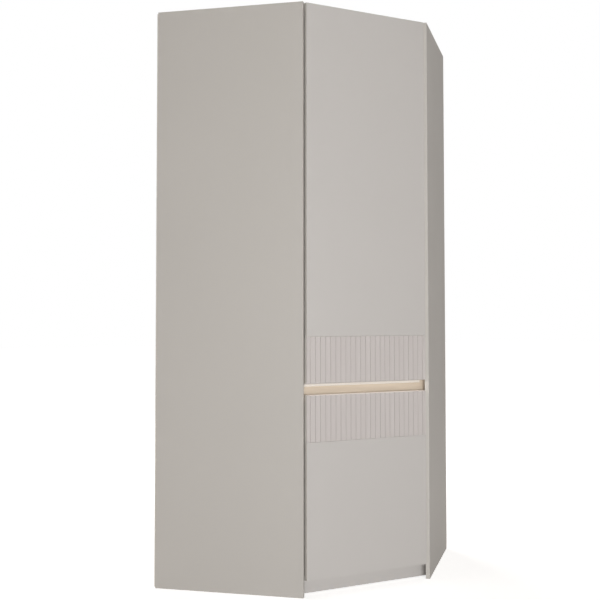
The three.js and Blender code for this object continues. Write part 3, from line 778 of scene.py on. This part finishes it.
PLATE_SCREW = screw_head("plate_screw", 0.0038, 0.0019)
SMALL_SCREW = screw_head("small_screw", 0.0027, 0.0014)
print("screw head faces:", len(PLATE_SCREW.polygons))

# %% [markdown]
# A piece is set by the point where it meets its carrier and the direction that it faces.
# The helper turns its Z axis that way, gives it a material and lets it ride on its body.

# %% Set a small piece on its carrier
def facing(place, direction, twist=0.0):
    """A matrix that puts Z along the direction, at a place."""
    turn = direction.to_track_quat("Z", "Y").to_matrix().to_4x4()
    return Matrix.Translation(place) @ turn @ Matrix.Rotation(twist, 4, "Z")


def set_piece(name, mesh, material, matrix, body, radius=None):
    """Adds a piece that rides on a body; a radius rounds its edges."""
    if not mesh.materials:
        mesh.materials.append(material)
    piece = bpy.data.objects.new(name, mesh)
    piece.matrix_world = matrix
    bpy.context.scene.collection.objects.link(piece)
    if radius:
        round_edges(piece, radius, 1)
    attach(piece, body)
    return piece


# %% [markdown]
# ## Hinge screws
#
# Each mounting plate is held by two screws through its wings, and each cup by two through
# its flange. Two more sit in the arm: one fixes it to the plate, and the other adjusts how
# far the door stands off its side board. Hand-driven screws stop at any angle, so each has
# a twist of its own.

# %% Screw the hinges on
HINGES = [name[:-len("_plate")] for name in nodes if name.endswith("_plate")]
NECK_HALF_HEIGHT = 0.02
WING_SCREW_HEIGHT = 0.018
FLANGE_SCREW_HEIGHT = 0.0245
ARM_SCREW_SPOTS = (-0.006, 0.011)
TWISTS = (0.3, 1.1, 0.7, 0.1)


def screw_plate(hinge):
    """Two screws in the mounting plate's wings and two on the arm."""
    height = middle(hinge + "_plate", UP)
    wings = lambda corner: abs(corner.z - height) > NECK_HALF_HEIGHT
    top = reach(hinge + "_plate", OFF["right"], wings)[1]
    along = middle(hinge + "_plate", ALONG["right"])
    for i, way in enumerate((-1, 1)):
        screw_height = height + way * WING_SCREW_HEIGHT
        place = ALONG["right"] * along + OFF["right"] * top + UP * screw_height
        set_piece(f"{hinge}_plate_screw_{i + 1}", PLATE_SCREW, ZINC,
                  facing(place, OFF["right"], TWISTS[i]), "carcass")
    over = lambda corner: corner.dot(ALONG["right"]) > along
    arm_top = reach(hinge + "_arm", OFF["right"], over)[1]
    for i, spot in enumerate(ARM_SCREW_SPOTS):
        place = ALONG["right"] * (along + spot) + OFF["right"] * arm_top + UP * height
        set_piece(f"{hinge}_arm_screw_{i + 1}", SMALL_SCREW, ZINC,
                  facing(place, OFF["right"], TWISTS[i + 2]), "carcass")


def screw_cup(hinge):
    """Two screws in the cup's flange, which ride on the hinge's door."""
    door = hinge.split("_")[0] + "_door"
    height = middle(hinge + "_cup", UP)
    back = reach(hinge + "_cup", BACK)[1]
    flange = lambda corner: abs(corner.z - height) > NECK_HALF_HEIGHT
    across = sum(reach(hinge + "_cup", Vector((1, 0, 0)), flange)) / 2
    for i, way in enumerate((-1, 1)):
        place = Vector((across, back, height + way * FLANGE_SCREW_HEIGHT))
        set_piece(f"{hinge}_cup_screw_{i + 1}", SMALL_SCREW, ZINC,
                  facing(place, BACK, TWISTS[i + 1]), door)


for hinge in HINGES:
    screw_plate(hinge)
    screw_cup(hinge)
print("hinges screwed on:", HINGES)

# %% [markdown]
# ## Rod brackets and end caps
#
# A bracket's plate is screwed to the hat shelf from below, one screw each side of the
# neck. Caps close the tube's ends, so that its cut edge doesn't mark the boards.

# %% Screw the brackets and cap the rod
BRACKET_SCREW_SPREAD = 0.0165
BRACKET_NECK = 0.02
CAP_PLUG = 0.004
CAP_WALL = 0.0018
CAP_OVERLAP = 0.0003
CAP_LIP = 0.0014
CAP_CROWN = 0.0012
CAP_ROUNDING = 0.0004


def finish_rod():
    """Caps in the tube's ends and screws through the brackets' plates."""
    low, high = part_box("hanging_rod")
    centre_y, centre_z = (low.y + high.y) / 2, (low.z + high.z) / 2
    radius = (high.z - low.z) / 2
    plug, rim = radius - CAP_WALL, radius + CAP_OVERLAP
    cap = turned("rod_cap", [(plug, -CAP_PLUG), (plug, 0), (rim, 0), (rim, CAP_LIP),
                             (0.8 * radius, CAP_LIP + CAP_CROWN)])
    for side, edge, way in (("left", low.x, -1), ("right", high.x, 1)):
        place = Vector((edge, centre_y, centre_z))
        set_piece(f"{side}_rod_cap", cap, WHITE_PLASTIC, facing(place, Vector((way, 0, 0))),
                  "carcass", CAP_ROUNDING)
        bracket_low, bracket_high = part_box(f"{side}_rod_bracket")
        wide = lambda corner: abs(corner.y - centre_y) > BRACKET_NECK
        plate_low = reach(f"{side}_rod_bracket", UP, wide)[0]
        across = (bracket_low.x + bracket_high.x) / 2
        for i, step in enumerate((-1, 1)):
            place = Vector((across, centre_y + step * BRACKET_SCREW_SPREAD, plate_low))
            set_piece(f"{side}_bracket_screw_{i + 1}", PLATE_SCREW, ZINC,
                      facing(place, -UP, TWISTS[i]), "carcass")


finish_rod()
print("rod caps and bracket screws set")

# %% [markdown]
# ## Boxes
#
# Some small pieces are plain boxes. One helper makes a mesh from any number of them: each
# box has eight corners and six faces, and every face lists its corners in the order that
# makes it look outward.

# %% Make closed boxes
SLAB_FACES = ((0, 2, 3, 1), (4, 5, 7, 6), (0, 1, 5, 4),
              (2, 6, 7, 3), (0, 4, 6, 2), (1, 3, 7, 5))


def add_slab(work, low, high):
    """Adds a closed box between two corners, as six faces of a bmesh."""
    corner = [work.verts.new((x, y, z))
              for z in (low.z, high.z) for y in (low.y, high.y) for x in (low.x, high.x)]
    for ring in SLAB_FACES:
        work.faces.new([corner[i] for i in ring])


def slabs(name, boxes):
    """One mesh of closed boxes, each given by its low and high corner."""
    work = bmesh.new()
    for low, high in boxes:
        add_slab(work, low, high)
    mesh = bpy.data.meshes.new(name)
    work.to_mesh(mesh)
    work.free()
    return mesh


# %% [markdown]
# ## The driver's lid, lugs and inlet pins
#
# The light's driver is a small case with a lid. Its seam, its screwed lugs and the two pins
# in its inlet are what tells it from a plain block. The lid is a thin plate over the case,
# with vents that a Boolean modifier cuts into it.

# %% Finish the driver
LID_RISE = 0.0018
LID_INSET = 0.0012
LID_ROUNDING = 0.0005
VENT_COUNT = 7
VENT_PITCH = 0.007
VENT_HALF_WIDTH = 0.0012
VENT_HALF_LENGTH = 0.009
VENT_FLOOR = 0.0006
LUG_LENGTH = 0.012
LUG_WIDTH = 0.011
LUG_RISE = 0.0022
LUG_ROUNDING = 0.0006
LUG_SCREW_SHARE = 0.55
INLET_DEPTH = 0.008
INLET_PIN_RADIUS = 0.0008
INLET_PIN_LENGTH = 0.006
INLET_PIN_SPREAD = 0.0021


def set_lid(low, high):
    """A vented lid on the driver's case, given by the case's two corners."""
    centre = (low + high) / 2
    inset = Vector((LID_INSET, LID_INSET, 0))
    lid = slabs("driver_lid", [(Vector((low.x, low.y, high.z)) + inset,
                                Vector((high.x, high.y, high.z + LID_RISE)) - inset)])
    front, back = centre.y - VENT_HALF_LENGTH, centre.y + VENT_HALF_LENGTH
    vents = []
    for i in range(VENT_COUNT):
        x = centre.x + (i - (VENT_COUNT - 1) / 2) * VENT_PITCH
        vents.append((Vector((x - VENT_HALF_WIDTH, front, high.z + VENT_FLOOR)),
                      Vector((x + VENT_HALF_WIDTH, back, high.z + 2 * LID_RISE))))
    set_piece("driver_lid", carved(lid, slabs("vents", vents)), WHITE_PLASTIC,
              Matrix.Identity(4), "carcass", LID_ROUNDING)


def set_lugs(low, high):
    """A lug with its screw at each end of the case."""
    y, top = ((low + high) / 2).y, low.z + LUG_RISE
    for i, (edge, way) in enumerate(((low.x, -1), (high.x, 1))):
        ends = sorted((edge, edge + way * LUG_LENGTH))
        lug = slabs("driver_lug", [(Vector((ends[0], y - LUG_WIDTH / 2, low.z)),
                                    Vector((ends[1], y + LUG_WIDTH / 2, top)))])
        set_piece(f"driver_lug_{i + 1}", lug, WHITE_PLASTIC, Matrix.Identity(4),
                  "carcass", LUG_ROUNDING)
        place = Vector((edge + way * LUG_SCREW_SHARE * LUG_LENGTH, y, top))
        set_piece(f"driver_screw_{i + 1}", SMALL_SCREW, ZINC, facing(place, UP, TWISTS[i]),
                  "carcass")


def set_inlet_pins(low, high):
    """Two pins at the bottom of the inlet, in the back of the case."""
    centre = (low + high) / 2
    pin = turned("inlet_pin", [(INLET_PIN_RADIUS, 0), (INLET_PIN_RADIUS, 0.9 * INLET_PIN_LENGTH),
                               (0.5 * INLET_PIN_RADIUS, INLET_PIN_LENGTH)])
    for i, way in enumerate((-1, 1)):
        place = Vector((centre.x + way * INLET_PIN_SPREAD, high.y - INLET_DEPTH, centre.z))
        set_piece(f"inlet_pin_{i + 1}", pin, NICKEL, facing(place, BACK),
                  "carcass")


CASE_LOW, CASE_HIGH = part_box("light_driver")
set_lid(CASE_LOW, CASE_HIGH)
set_lugs(CASE_LOW, CASE_HIGH)
set_inlet_pins(CASE_LOW, CASE_HIGH)
print("driver's lid, lugs, screws and inlet pins set")

# %% [markdown]
# ## Cam fittings
#
# Flat-packed boards are drawn together by cams: a pin in the side board's face enters the
# shelf's end, and a disc in the shelf's underside is turned to grip it. A cap closes each
# disc. The photograph shows bare side boards, which is what this fitting leaves.

# %% Set cams into the undersides of the fixed boards
CAM_BOARDS = ("top_panel", "bottom_panel", "middle_shelf", "hat_shelf")
CAM_ALONG = (0.125, 0.5)
CAM_OFF = 0.034
CAM_RADIUS = 0.0085
CAM_RISE = 0.0009
CAM_SLOT_WIDTH = 0.0016
CAM_SLOT_ARM = 0.0036
CAM_SLOT_DEPTH = 0.0006


def side_point(side, along, off):
    """A plan point from the inner front corner of a side board."""
    corner_along = reach(side + "_side", ALONG[side])[0]
    inner = reach(side + "_side", OFF[side])[1]
    return ALONG[side] * (corner_along + along) + OFF[side] * (inner + off)


def set_cams():
    """Two cams beside each side board, in the underside of every fixed board."""
    disc = turned("cam_disc", [(CAM_RADIUS, 0), (CAM_RADIUS, 0.4 * CAM_RISE),
                               (0.9 * CAM_RADIUS, CAM_RISE), (0.2 * CAM_RADIUS, CAM_RISE)])
    disc = carved(disc, cross(CAM_SLOT_WIDTH, CAM_SLOT_ARM, CAM_RISE, CAM_SLOT_DEPTH))
    count = 0
    for board in CAM_BOARDS:
        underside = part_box(board)[0].z
        for side in ("left", "right"):
            for i, along in enumerate(CAM_ALONG):
                place = side_point(side, along, CAM_OFF) + UP * underside
                set_piece(f"{board}_{side}_cam_{i + 1}", disc, CAM_CAP,
                          facing(place, -UP, radians(45)), "carcass")
                count += 1
    return count


print("cams set:", set_cams())

# %% [markdown]
# ## Nails in the backs
#
# Thin backs are nailed to the boards in front of them. Rows of small flat heads follow the
# side board, the corner stile and the fixed boards. Each back's nails are joined in one
# mesh, because they are one strip of fixings that is never taken apart by itself.

# %% Nail the backs on
NAIL_RADIUS = 0.0027
NAIL_RISE = 0.0007
NAIL_STEP = 0.13
NAIL_EDGE = 0.005
SIDE_ROW_INSET = 0.008
CORNER_ROW_INSET = 0.055
ROW_END = 0.05
BOARD_ROW_START = 0.15
BOARD_ROW_END = 0.12


def row(start, end, step):
    """Even places from start to end, about one step apart."""
    count = max(2, round((end - start) / step) + 1)
    return [start + (end - start) * i / (count - 1) for i in range(count)]


def nail_back(side):
    """Nails one back to its side board, its corner stile and the fixed boards."""
    outward = ALONG[side]
    along = -OFF[side]
    face = reach(side + "_back", outward)[1]
    near, far = reach(side + "_back", along)
    low, high = (v.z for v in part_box(side + "_back"))
    upright = row(low + ROW_END, high - ROW_END, NAIL_STEP)
    spots = [(far - SIDE_ROW_INSET, z) for z in upright]
    spots += [(near + CORNER_ROW_INSET, z) for z in upright]
    for board in CAM_BOARDS:
        box_low, box_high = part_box(board)
        height = min((box_low.z + box_high.z) / 2, high - NAIL_EDGE)
        level = row(near + BOARD_ROW_START, far - BOARD_ROW_END, NAIL_STEP)
        spots += [(reach_along, height) for reach_along in level]
    head = turned("nail", [(NAIL_RADIUS, 0), (NAIL_RADIUS, 0.5 * NAIL_RISE),
                           (0.7 * NAIL_RADIUS, NAIL_RISE), (0.1 * NAIL_RADIUS, NAIL_RISE)])
    work = bmesh.new()
    for reach_along, height in spots:
        start = len(work.verts)
        work.from_mesh(head)
        work.verts.ensure_lookup_table()
        matrix = facing(along * reach_along + outward * face + UP * height, outward)
        bmesh.ops.transform(work, matrix=matrix, verts=work.verts[start:])
    mesh = bpy.data.meshes.new(side + "_back_nails")
    work.to_mesh(mesh)
    work.free()
    set_piece(side + "_back_nails", mesh, ZINC, Matrix.Identity(4), "carcass")
    return len(spots)


print("nails:", {side: nail_back(side) for side in ("left", "right")})

# %% [markdown]
# ## The floor
#
# A pale floor takes the wardrobe's soft shadow. The photograph's background is white, so
# the floor and the world show white to the camera, to gloss and to glass, while the light
# that they give to the wardrobe stays at a plain level. The floor's share of white is a
# little lower round the foot, so that the soft shadow there isn't washed out.

# %% Lay the floor
WHITE = (1.0, 1.0, 1.0, 1.0)
FLOOR_SIZE = 60.0
FLOOR_COLOUR = (0.8, 0.79, 0.78)
LIFT_NEAR = 0.72
LIFT_FAR = 0.84
NEAR_REACH = 0.8
FAR_REACH = 3.2


def seen_rays(tree):
    """1 for rays from the camera and for those seen in gloss and glass, else 0."""
    path = add(tree, "ShaderNodeLightPath")
    either = calculate(tree, "MAXIMUM", (path, "Is Camera Ray"), (path, "Is Glossy Ray"))
    return calculate(tree, "MAXIMUM", (either, 0), (path, "Is Transmission Ray"))


def lay_floor():
    """A pale floor that looks white to the camera, a little less so round the foot."""
    mesh = bpy.data.meshes.new("floor")
    half = FLOOR_SIZE / 2
    corners = [(-half, -half, 0), (half, -half, 0), (half, half, 0), (-half, half, 0)]
    mesh.from_pydata(corners, [], [(0, 1, 2, 3)])
    material, tree, shader = start_material("floor", Roughness=0.9, Specular_IOR_Level=0.0)
    shader.inputs["Base Color"].default_value = (*FLOOR_COLOUR, 1.0)
    shader.inputs["Emission Color"].default_value = WHITE
    place = add(tree, "ShaderNodeTexCoord")
    away = add(tree, "ShaderNodeVectorMath", operation="LENGTH")
    join(tree, place, "Object", away, 0)
    lift = add(tree, "ShaderNodeMapRange", {"From Min": NEAR_REACH, "From Max": FAR_REACH,
                                            "To Min": LIFT_NEAR, "To Max": LIFT_FAR})
    join(tree, away, "Value", lift, "Value")
    shown = calculate(tree, "MULTIPLY", (seen_rays(tree), 0), (lift, 0))
    join(tree, shown, 0, shader, "Emission Strength")
    mesh.materials.append(material)
    floor = bpy.data.objects.new("floor", mesh)
    bpy.context.scene.collection.objects.link(floor)


lay_floor()
print("floor:", FLOOR_SIZE, "m square")

# %% [markdown]
# ## The studio light
#
# One broad, low softbox stands near the camera. It lights the left side board and the
# front alike, falls off a little toward the top, and leaves the right side board darker. A
# weaker lamp above and behind lights the top and the backs. The world's light is a little
# warmer than the softbox's, as light is that comes back from a room's walls.

# %% Light the studio
WORLD_LEVEL = 0.245
WORLD_TINT = (1.0, 0.93, 0.86, 1.0)
SOFTBOX_WATTS = 254.0
SOFTBOX_TINT = (0.965, 0.989, 1.0)
SOFTBOX_SIZE = (3.8, 1.3)
SOFTBOX_PLACE = Vector((-2.2, -5.9, 0.66))
FILL_WATTS = 165.0
FILL_TINT = (1.0, 0.975, 0.95)
FILL_SIZE = (3.4, 2.2)
FILL_PLACE = Vector((0.6, 5.2, 3.6))
LAMP_AIM = Vector((0, -0.55, 0.66))


def light_world():
    """A weak warm light all round, which the camera sees as white."""
    world = bpy.data.worlds.new("studio")
    bpy.context.scene.world = world
    world.use_nodes = True
    tree = world.node_tree
    background = tree.nodes["Background"]
    rays = seen_rays(tree)
    tint = add(tree, "ShaderNodeMix", {6: WORLD_TINT, 7: WHITE}, data_type="RGBA")
    join(tree, rays, 0, tint, "Factor")
    join(tree, tint, 2, background, "Color")
    seen = calculate(tree, "MULTIPLY", (rays, 0), 1 - WORLD_LEVEL)
    level = calculate(tree, "ADD", (seen, 0), WORLD_LEVEL)
    join(tree, level, 0, background, "Strength")


def area_lamp(name, size, watts, colour, place, turn):
    """A rectangular lamp that the camera doesn't see."""
    lamp = bpy.data.lights.new(name, "AREA")
    lamp.shape = "RECTANGLE"
    lamp.size, lamp.size_y = size
    lamp.energy = watts
    lamp.color = colour
    holder = bpy.data.objects.new(name, lamp)
    holder.location = place
    holder.rotation_euler = turn
    holder.visible_camera = False
    bpy.context.scene.collection.objects.link(holder)


def aimed(place):
    """The turn that makes a lamp at this place look at the middle of the front."""
    return (place - LAMP_AIM).to_track_quat("Z", "Y").to_euler()


def light_studio():
    """The softbox near the camera, and the fill behind and above the wardrobe."""
    area_lamp("softbox", SOFTBOX_SIZE, SOFTBOX_WATTS, SOFTBOX_TINT, SOFTBOX_PLACE,
              aimed(SOFTBOX_PLACE))
    area_lamp("back_fill", FILL_SIZE, FILL_WATTS, FILL_TINT, FILL_PLACE, aimed(FILL_PLACE))


light_world()
light_studio()
bpy.context.scene.view_settings.view_transform = "Standard"
print("world level:", WORLD_LEVEL, "softbox:", SOFTBOX_WATTS, "W, fill:", FILL_WATTS, "W")

# %% [markdown]
# ## The light in the recess
#
# Two thin warm lamps give the light that the diffuser throws, because light from a glowing
# material alone would be weak and grainy. One stands close to the rail and shines straight
# down, so that the rail gets darker downward. The other is tilted to the front and
# brightens the lower door's bevelled edge.

# %% Light the recess
LAMP_WIDTH = 0.005
LAMP_DROP = 0.003
RECESS_WATTS = 0.035
RECESS_STANDOFF = 0.008
RECESS_OVERHANG = 0.012
LIP_WATTS = 0.108
LIP_TILT = radians(-34)
LIP_SETBACK = 0.003


def light_recess():
    """One lamp that shines down the rail and one over the lower door's edge."""
    low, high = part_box("light_diffuser")
    door_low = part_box("upper_fluted_panel")[0]
    height = door_low.z - LAMP_DROP
    size = (high.x - low.x + 2 * RECESS_OVERHANG, LAMP_WIDTH)
    place = (0, low.y - RECESS_STANDOFF, height)
    area_lamp("recess_lamp", size, RECESS_WATTS, GLOW[:3], place, (0, 0, 0))
    size = (high.x - low.x, LAMP_WIDTH)
    place = (0, door_low.y + LIP_SETBACK, height)
    area_lamp("lip_lamp", size, LIP_WATTS, GLOW[:3], place, (LIP_TILT, 0, 0))


light_recess()
